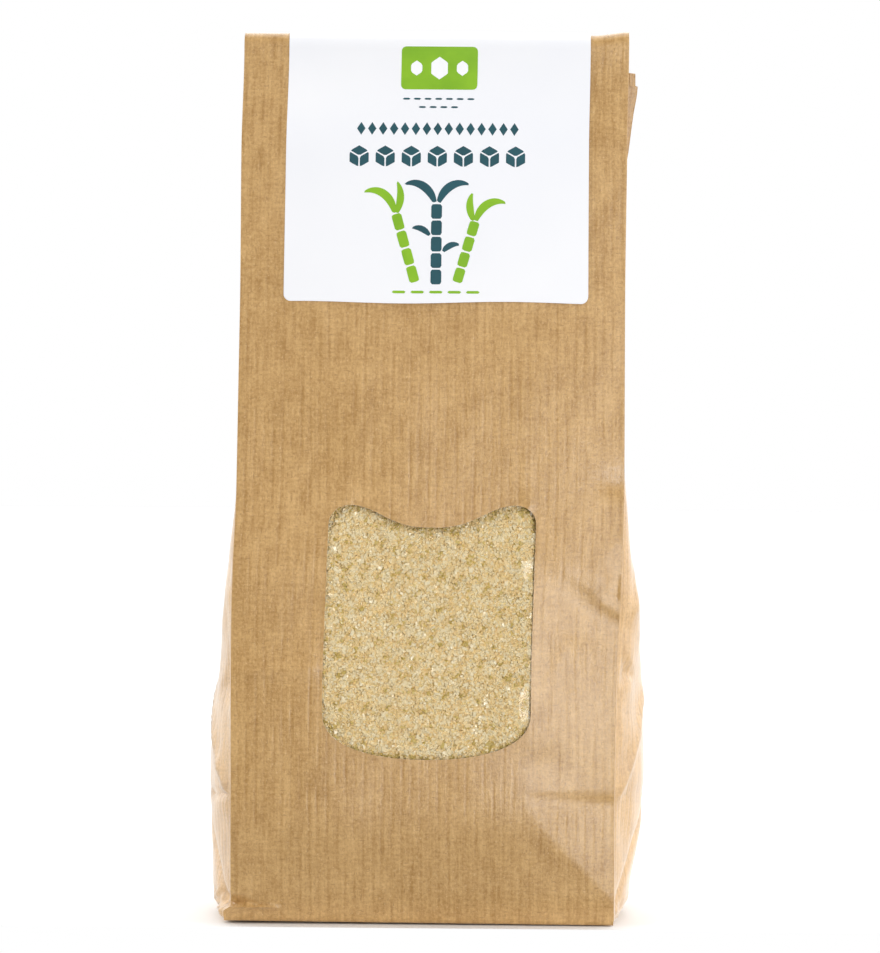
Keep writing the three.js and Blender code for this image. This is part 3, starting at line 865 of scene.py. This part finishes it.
def label_point(x, t, off):
    """A point over the label: x across it, t the way from its front edge over the fold, and off
    the distance from its underside."""
    x, t = np.broadcast_arrays(x, t)
    rise = FOLD_HEIGHT - LABEL_FRONT_END
    lift = off + LABEL_STAND_OFF + 0.12 * (1 + waves(x, t, 34, 51)) * 0.5
    z = np.minimum(LABEL_FRONT_END + t, FOLD_HEIGHT)
    on_front = settle(x, front_y(x, z) - front_relief(x, z) * below_fold(z) * 0.7 - lift, z)
    turn = np.clip((t - rise) / FOLD_ARC, 0, 1) * math.pi
    on_fold = fold_point(x, -lift, turn)
    down = np.clip(FOLD_HEIGHT - (t - rise - FOLD_ARC), LABEL_BACK_END, FOLD_HEIGHT)
    share = smoothstep(down, FLAP_END_HEIGHT - LABEL_BRIDGE, FLAP_END_HEIGHT)
    panel_y = back_y(x, down) + back_relief(x, down) * 0.7
    base = panel_y * (1 - share) + flap_y(down) * share
    on_back = settle(x, base + lift, down)
    return along_fold(t, rise, [on_front, on_fold, on_back])


def label_sheet(material):
    ends = LABEL_CORNER * (1 - np.cos(np.linspace(0, math.pi / 2, 8)))
    body = np.arange(LABEL_CORNER + 1, LABEL_LENGTH - LABEL_CORNER - 0.6, 1.0)
    t = np.concatenate([ends, body, LABEL_LENGTH - ends[::-1]])[:, None]
    end = np.minimum(t, LABEL_LENGTH - t)
    short = np.clip(LABEL_CORNER - end, 0, None)
    half = LABEL_HALF - LABEL_CORNER + np.sqrt(LABEL_CORNER**2 - short**2)
    x = np.linspace(-1, 1, 55)[None] * half
    wavy = np.clip(1 - t / 6, 0, 1) * (0.28 * np.sin(x / 8.5 - 0.6) - 0.1)
    points = label_point(x + LABEL_X, t + wavy, LABEL_SHEET)
    soup = Soup()
    soup.add_grid(points, stacked(x, t))
    shell = thickened(*soup.joined(), LABEL_SHEET)
    return mesh_piece("label_sheet", material, *shell, SHARP_ANGLE)


# ---- The label's print: plain shapes, each a very thin layer on the paper


def print_layer(name, material, outlines, gap=PRINT_GAP):
    """Outlines are closed, in millimetres across and up from the middle of the label's front
    edge. The gap is the layer's distance from the label."""
    soup = Soup()
    for outline in outlines:
        outline = resampled(np.array(outline, float), 0.7)
        low, high = outline.min(axis=0), outline.max(axis=0)
        columns = np.arange(low[0] + 1, high[0] - 0.5, 1.6)
        rows = np.arange(low[1] + 1, high[1] - 0.5, 1.6)
        grid = grid_points(columns, rows)
        if len(grid):
            grid = grid[(distance_to(outline, grid) > 0.5) & inside(outline, grid)]
        flat, triangles = triangulated([outline], grid, lambda p, o=outline: inside(o, p))
        points = label_point(flat[:, 0] + LABEL_X, flat[:, 1], LABEL_SHEET + gap)
        soup.add(points, flat, triangles.tolist())
    return mesh_piece(name, material, *thickened(*soup.joined(), PRINT_SHEET), sharp_angle=40)


def rounded_box(centre, width, height, radius):
    turn = np.linspace(0, 2 * math.pi, 41)[:-1] + math.pi / 80
    x = centre[0] + np.sign(np.cos(turn)) * (width / 2 - radius) + radius * np.cos(turn)
    z = centre[1] + np.sign(np.sin(turn)) * (height / 2 - radius) + radius * np.sin(turn)
    return stacked(x, z)


def many_sided(centre, width, height, sides, start=0.0):
    turn = start + np.arange(sides) * 2 * math.pi / sides
    return stacked(centre[0] + width / 2 * np.cos(turn), centre[1] + height / 2 * np.sin(turn))


def ribbon(points, widths):
    """A tapering stroke along points, as one outline."""
    points = np.array(points, float)
    along = np.gradient(points, axis=0)
    along /= np.linalg.norm(along, axis=1, keepdims=True)
    across = stacked(-along[:, 1], along[:, 0]) * np.array(widths)[:, None] / 2
    return np.vstack([points - across, (points + across)[::-1]])


def leaf(start, heading, length, droop, width):
    """A long curved leaf that rises from a point, bends over and tapers."""
    t = np.linspace(0, 1, 18)
    angle = np.radians(heading) + droop * t**1.4
    steps = stacked(np.cos(angle), np.sin(angle)) * length / len(t)
    points = np.array(start) + np.vstack([[0, 0], np.cumsum(steps, axis=0)[:-1]])
    return ribbon(points, width * np.sin(math.pi * (0.12 + 0.86 * t)) ** 0.8 + 0.12)


def stalk(foot, tilt, length, width, joints):
    """A cane stalk as a row of segments with small gaps between them."""
    direction = np.array([math.sin(math.radians(tilt)), math.cos(math.radians(tilt))])
    across = np.array([direction[1], -direction[0]])
    pieces = []
    for i in range(joints):
        start = length * i / joints + 0.22
        stop = length * (i + 1) / joints - 0.22
        box = rounded_box((0, (start + stop) / 2), width, stop - start, 0.55)
        pieces.append(np.array(foot) + box[:, :1] * across + box[:, 1:] * direction)
    return pieces


def cube(centre, radius):
    """A cube seen corner-on: three four-sided faces with narrow gaps between them."""
    centre = np.array(centre, float)
    rim = many_sided((0, 0), 2 * radius, 2 * radius, 6, math.pi / 2)
    faces = []
    for i in (0, 2, 4):
        face = np.array([rim[i], rim[(i + 1) % 6], (0, 0), rim[i - 1]])
        middle = face.mean(axis=0)
        faces.append(centre + middle + (face - middle) * 0.86)
    return faces


def label_print(green, teal, white):
    badge = [rounded_box((0, 61.8), 20, 11.4, 1.2)]
    on_badge = [
        many_sided((x, 61.8), width, height, 6, math.pi / 2)
        for x, width, height in ((-6.0, 3.4, 4.0), (0, 5.0, 6.0), (6.0, 3.4, 4.0))
    ]
    fine = [rounded_box((x, 53.6), 2.0, 0.5, 0.22) for x in np.arange(-8.4, 8.5, 2.8)]
    fine += [rounded_box((x, 51.4), 2.0, 0.5, 0.22) for x in np.arange(-4.2, 4.3, 2.8)]
    band = [many_sided((x, 45.6), 2.2, 3.4, 4) for x in np.linspace(-20, 20, 15)]
    cubes = []
    for x in np.linspace(-20.4, 20.4, 7):
        cubes += cube((x, 38.2), 3.1)
    stalks = stalk((-5.4, 5.0), -16, 19, 2.6, 4) + stalk((5.4, 5.0), 16, 17, 2.6, 4)
    middle = stalk((0, 4.4), 0, 21.5, 2.8, 5)
    green_leaves = [
        leaf((-10.9, 23.4), 105, 12, 1.9, 2.1),
        leaf((-10.4, 23.4), 70, 9, 0.9, 1.8),
        leaf((10.2, 21.4), 70, 11, -1.8, 2.1),
        leaf((9.6, 21.4), 112, 8, -0.9, 1.8),
    ]
    teal_leaves = [
        leaf((-0.5, 26.2), 112, 11, 1.7, 2.1),
        leaf((0.5, 26.2), 68, 11, -1.7, 2.1),
        leaf((-1.8, 17.5), 130, 5.6, 1.3, 1.5),
        leaf((1.8, 13.3), 50, 5.2, -1.3, 1.5),
    ]
    foot = [rounded_box((x, 2.6), 3.6, 0.7, 0.3) for x in np.linspace(-9.6, 9.6, 5)]
    return [
        print_layer("print_green", green, badge + stalks + green_leaves + foot),
        print_layer("print_teal", teal, fine + band + cubes + middle + teal_leaves),
        print_layer("print_white", white, on_badge, 2 * PRINT_GAP),
    ]


# ---- Materials


class Nodes:
    """The node tree of a new material or world, with short calls for the nodes used here."""

    def __init__(self, name, owners=bpy.data.materials, output="ShaderNodeOutputMaterial"):
        self.owner = owners.new(name)
        self.owner.use_nodes = True
        self.tree = self.owner.node_tree
        self.tree.nodes.clear()
        self.output = self.tree.nodes.new(output)

    def add(self, kind, settings=None, **inputs):
        """A node with its inputs given by name, or as i0, i1 and so on by place."""
        node = self.tree.nodes.new(kind)
        for key, value in (settings or {}).items():
            setattr(node, key, value)
        for key, value in inputs.items():
            socket = node.inputs[int(key[1:]) if key[0] == "i" else key.replace("_", " ")]
            if isinstance(value, bpy.types.NodeSocket):
                self.tree.links.new(value, socket)
            else:
                socket.default_value = value
        return node

    def math(self, operation, a, b=0.0, c=0.0):
        return self.add("ShaderNodeMath", {"operation": operation}, i0=a, i1=b, i2=c).outputs[0]

    def total(self, *terms):
        """The sum of values times their weights."""
        total = 0.0
        for value, weight in terms:
            total = self.math("MULTIPLY_ADD", value, weight, total)
        return total

    def blend(self, share, a, b):
        node = self.add("ShaderNodeMix", {"data_type": "RGBA"}, Factor=share, i6=a, i7=b)
        return node.outputs[2]

    def ramp(self, value, low, high, out_low=0.0, out_high=1.0):
        node = self.add("ShaderNodeMapRange", i0=value, i1=low, i2=high, i3=out_low, i4=out_high)
        return node.outputs[0]

    def scaled(self, vector, scale):
        settings = {"operation": "MULTIPLY"}
        return self.add("ShaderNodeVectorMath", settings, i0=vector, i1=scale).outputs[0]

    def sheet(self, scale=(1, 1, 1)):
        """The mesh's own sheet numbers, stretched."""
        source = self.add("ShaderNodeAttribute", {"attribute_name": "sheet"})
        return self.scaled(source.outputs["Vector"], scale)

    def place(self):
        """Place in the model, in millimetres."""
        return self.scaled(self.add("ShaderNodeTexCoord").outputs["Object"], (1 / MM,) * 3)

    def noise(self, vector, scale, detail=2.0, roughness=0.5):
        inputs = {"Vector": vector, "Scale": scale, "Detail": detail, "Roughness": roughness}
        return self.add("ShaderNodeTexNoise", **inputs).outputs["Fac"]

    def bump(self, height, strength, distance):
        inputs = {"Height": height, "Strength": strength, "Distance": distance}
        return self.add("ShaderNodeBump", **inputs).outputs[0]

    def finish(self, shader):
        self.tree.links.new(shader.outputs[0], self.output.inputs["Surface"])
        return self.owner

    def surface(self, **inputs):
        return self.finish(self.add("ShaderNodeBsdfPrincipled", **inputs))


def kraft_paper():
    """Ribbed kraft: fine vertical ribs, mottled pulp, short dark and pale fibres."""
    n = Nodes("kraft_paper")
    wander = n.noise(n.sheet((0.06, 0.02, 1)), 1.0)
    across = n.add("ShaderNodeSeparateXYZ", i0=n.sheet()).outputs[0]
    phase = n.total((across, 2 * math.pi / RIB_PITCH), (wander, 6))
    line = n.ramp(n.math("SINE", phase), 0.0, 1.0)
    depth = n.ramp(n.noise(n.sheet((0.3, 0.07, 1)), 1.0), 0.35, 0.65, 0.15, 1.0)
    rib = n.math("MULTIPLY", line, depth)
    streak = n.noise(n.sheet((1.1, 0.07, 1)), 1.0, 3.0, 0.6)
    cross = n.noise(n.sheet((0.3, 1.3, 1)), 1.0, 3.0, 0.6)
    mottle = n.noise(n.sheet((0.24, 0.16, 1)), 1.0, 3.0, 0.55)
    cloud = n.noise(n.sheet((0.045, 0.035, 1)), 1.0, 2.0)
    grain = n.noise(n.sheet((1.5, 1.1, 1)), 1.0, 4.0, 0.7)
    pulp = (streak, 0.8), (cross, 0.6), (mottle, 0.8), (cloud, 0.5), (grain, 1.4)
    # Each noise lies about a half, so the tone lies about 2.
    share = n.ramp(n.total((rib, -0.2), *pulp), 2 - 0.42, 2 + 0.42)
    colour = n.blend(share, (0.365, 0.184, 0.034, 1), (0.650, 0.400, 0.152, 1))
    upright = n.ramp(n.noise(n.sheet((1.9, 0.5, 1)), 1.0, 2.0), 0.63, 0.70)
    level = n.ramp(n.noise(n.sheet((0.55, 1.9, 5)), 1.0, 2.0), 0.63, 0.70)
    dark = n.math("MAXIMUM", upright, level)
    colour = n.blend(n.math("MULTIPLY", dark, 0.42), colour, (0.26, 0.125, 0.022, 1))
    pale = n.ramp(n.noise(n.sheet((1.3, 1.0, 3)), 1.4, 2.0), 0.64, 0.72)
    colour = n.blend(n.math("MULTIPLY", pale, 0.35), colour, (0.82, 0.60, 0.35, 1))
    return n.surface(
        Base_Color=colour,
        Normal=n.bump(n.total((rib, -0.6), (grain, 1.2), (streak, 0.7)), 0.5, 0.00015),
        Roughness=n.ramp(grain, 0.3, 0.7, 0.31, 0.42),
        IOR=1.75,
        Sheen_Weight=0.8,
        Sheen_Roughness=0.35,
    )


def label_paper():
    n = Nodes("label_paper")
    # Painted shade: large random patches of dimmer bluish grey stand in for the label's soft
    # shading.
    painted_shade_patches = n.noise(n.place(), 0.035, 2.0)
    colour = n.blend(painted_shade_patches, (0.85, 0.86, 0.905, 1), (0.92, 0.92, 0.935, 1))
    grain = n.noise(n.place(), 2.5, 3.0)
    roughness = n.ramp(grain, 0.3, 0.7, 0.34, 0.42)
    return n.surface(Base_Color=colour, Normal=n.bump(grain, 0.08, 0.00005), Roughness=roughness)


def ink(name, light, deep):
    n = Nodes(name)
    patchy = n.noise(n.place(), 0.12, 3.0)
    colour = n.blend(n.ramp(patchy, 0.35, 0.65), light, deep)
    fine = n.noise(n.place(), 3.0, 2.0)
    return n.surface(Base_Color=colour, Roughness=n.ramp(fine, 0.3, 0.7, 0.36, 0.46))


def clear_film():
    n = Nodes("clear_film")
    bump = n.bump(n.noise(n.place(), 0.09, 2.0), 0.5, 0.0003)
    gloss = n.add("ShaderNodeBsdfGlossy", Normal=bump, Roughness=0.12).outputs[0]
    clear = n.add("ShaderNodeBsdfTransparent").outputs[0]
    share = n.add("ShaderNodeFresnel", Normal=bump, IOR=1.2).outputs[0]
    return n.finish(n.add("ShaderNodeMixShader", i0=share, i1=clear, i2=gloss))


def crystal(name, light, deep):
    """Crystals of one kind. Each grain has its own tone, which varies a little across it."""
    n = Nodes(name)
    tone = n.add("ShaderNodeSeparateXYZ", i0=n.sheet()).outputs[0]
    cloud = n.noise(n.place(), 1.6, 2.0)
    colour = n.blend(n.total((tone, 0.75), (cloud, 0.3)), light, deep)
    return n.surface(Base_Color=colour, Roughness=n.ramp(cloud, 0.3, 0.7, 0.16, 0.34))


def packed_sugar():
    n = Nodes("packed_sugar")
    grain = n.noise(n.place(), 1.5, 3.0)
    colour = n.blend(n.ramp(grain, 0.35, 0.65), (0.84, 0.66, 0.27, 1), (0.96, 0.79, 0.40, 1))
    bump = n.bump(n.noise(n.place(), 2.2, 3.0), 0.6, 0.0003)
    roughness = n.ramp(grain, 0.3, 0.7, 0.4, 0.6)
    return n.surface(Base_Color=colour, Normal=bump, Roughness=roughness)


def floor_white():
    n = Nodes("floor_white")
    colour = n.blend(n.noise(n.place(), 0.004), (0.79, 0.79, 0.79, 1), (0.81, 0.81, 0.81, 1))
    return n.surface(Base_Color=colour, Roughness=0.6)


# ---- The pieces


def place_piece(piece, slot, *nodes):
    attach(piece, "root")
    if nodes:
        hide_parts(*nodes)


place_piece(paper_bag(kraft_paper()), "kraft_paper", "paper_bag")
place_piece(window_film(clear_film()), "clear_film", "window_film")
place_piece(sugar_core(packed_sugar()), "cane_sugar", "sugar")
GRAINS = grain_places()
KINDS = (
    ("crystals_pale", (0, 0.5), 61, (1.0, 0.90, 0.64, 1), (1.0, 0.85, 0.54, 1)),
    ("crystals_golden", (0.5, 0.92), 62, (1.0, 0.81, 0.47, 1), (0.96, 0.75, 0.38, 1)),
    ("crystals_amber", (0.92, 1.01), 63, (0.80, 0.63, 0.25, 1), (0.66, 0.50, 0.15, 1)),
)
for kind_name, kind_share, kind_seed, kind_light, kind_deep in KINDS:
    kind_material = crystal(kind_name, kind_light, kind_deep)
    kind_piece = crystals(kind_name, kind_material, kind_share, kind_seed, GRAINS)
    place_piece(kind_piece, "cane_sugar")
place_piece(label_sheet(label_paper()), "label_paper", "label")
PRINTS = label_print(
    ink("ink_green", (0.25, 0.50, 0.012, 1), (0.20, 0.43, 0.008, 1)),
    ink("ink_teal", (0.010, 0.085, 0.11, 1), (0.008, 0.07, 0.09, 1)),
    ink("ink_white", (0.93, 0.94, 0.95, 1), (0.90, 0.91, 0.93, 1)),
)
for layer in PRINTS:
    place_piece(layer, "label_paper")

# ---- Floor, light and camera

# In metres.
FLOOR_SIZE = 8
FLOOR_FRONT = -0.0355  # just in front of the bag; the surround is seen before it
FLOOR_TOP = -0.0002
floor_place = (0, FLOOR_FRONT + FLOOR_SIZE / 2, FLOOR_TOP)
bpy.ops.mesh.primitive_plane_add(size=FLOOR_SIZE, location=floor_place)
floor = bpy.context.object
floor.name = "floor"
floor.data.materials.append(floor_white())


def area_light(name, location, target_height, width, height, power):
    """A rectangular light that faces the bag's middle line at a height, in metres."""
    data = bpy.data.lights.new(name, "AREA")
    data.shape = "RECTANGLE"
    data.size, data.size_y, data.energy = width, height, power
    lamp = bpy.data.objects.new(name, data)
    lamp.location = location
    away = Vector(location) - Vector((0, 0, target_height))
    lamp.rotation_euler = away.to_track_quat("Z", "Y").to_euler()
    bpy.context.scene.collection.objects.link(lamp)


area_light("light_left", (-0.75, -0.3, 0.4), 0.11, 0.7, 0.9, 3.6)
area_light("light_right", (0.75, -0.1, 0.4), 0.11, 0.7, 0.9, 3.4)
area_light("light_near_right", (0.3, -0.85, 0.12), 0.06, 0.16, 0.4, 3.4)
area_light("light_above", (-0.1, -0.95, 0.8), 0.1, 1.4, 0.5, 1.5)

WORLD_FRONT = 0.13
WORLD_BACK = 2.1
WORLD_BELOW = 0.48


def studio_world():
    """White to look at. As light it is bright behind the bag, dimmer below the level of the floor,
    and dimmest on the camera's side."""
    n = Nodes("studio", bpy.data.worlds, "ShaderNodeOutputWorld")
    place = n.add("ShaderNodeTexCoord").outputs["Generated"]
    _, toward_back, upward = n.add("ShaderNodeSeparateXYZ", i0=place).outputs
    level = n.ramp(toward_back, -0.5, 0.3, WORLD_FRONT, WORLD_BACK)
    lit = n.ramp(upward, -0.05, 0.0, WORLD_BELOW, level)
    camera_ray = n.add("ShaderNodeLightPath").outputs["Is Camera Ray"]
    seen = n.ramp(camera_ray, 0.0, 1.0, lit, 1.0)
    return n.finish(n.add("ShaderNodeBackground", i0=(1, 1, 1, 1), i1=seen))


bpy.context.scene.world = studio_world()

PHOTO_HEIGHT = 953
SENSOR_HEIGHT = 24
CAMERA_TARGET = np.array([3.089, 0, 114.589]) + CENTRING
CAMERA_DISTANCE = 900
CAMERA_AZIMUTH = math.radians(1.478)
CAMERA_ELEVATION = math.radians(0.2)
CAMERA_ROLL = math.radians(0.2935)
FOCAL_PIXELS = 3401.9

toward = Vector((
    math.sin(CAMERA_AZIMUTH) * math.cos(CAMERA_ELEVATION),
    -math.cos(CAMERA_AZIMUTH) * math.cos(CAMERA_ELEVATION),
    math.sin(CAMERA_ELEVATION),
))
position = (Vector(CAMERA_TARGET) + toward * CAMERA_DISTANCE) * MM
turn = toward.to_track_quat("Z", "Y").to_matrix().to_4x4() @ Matrix.Rotation(CAMERA_ROLL, 4, "Z")
camera_data = bpy.data.cameras.new("camera")
camera_data.sensor_fit = "VERTICAL"
camera_data.sensor_height = SENSOR_HEIGHT
camera_data.lens = FOCAL_PIXELS * SENSOR_HEIGHT / PHOTO_HEIGHT
camera_data.clip_start = 0.01
camera = bpy.data.objects.new("camera", camera_data)
camera.matrix_world = Matrix.Translation(position) @ turn
scene = bpy.context.scene
scene.collection.objects.link(camera)
scene.camera = camera
scene.view_settings.view_transform = "Standard"
scene.view_settings.look = "None"
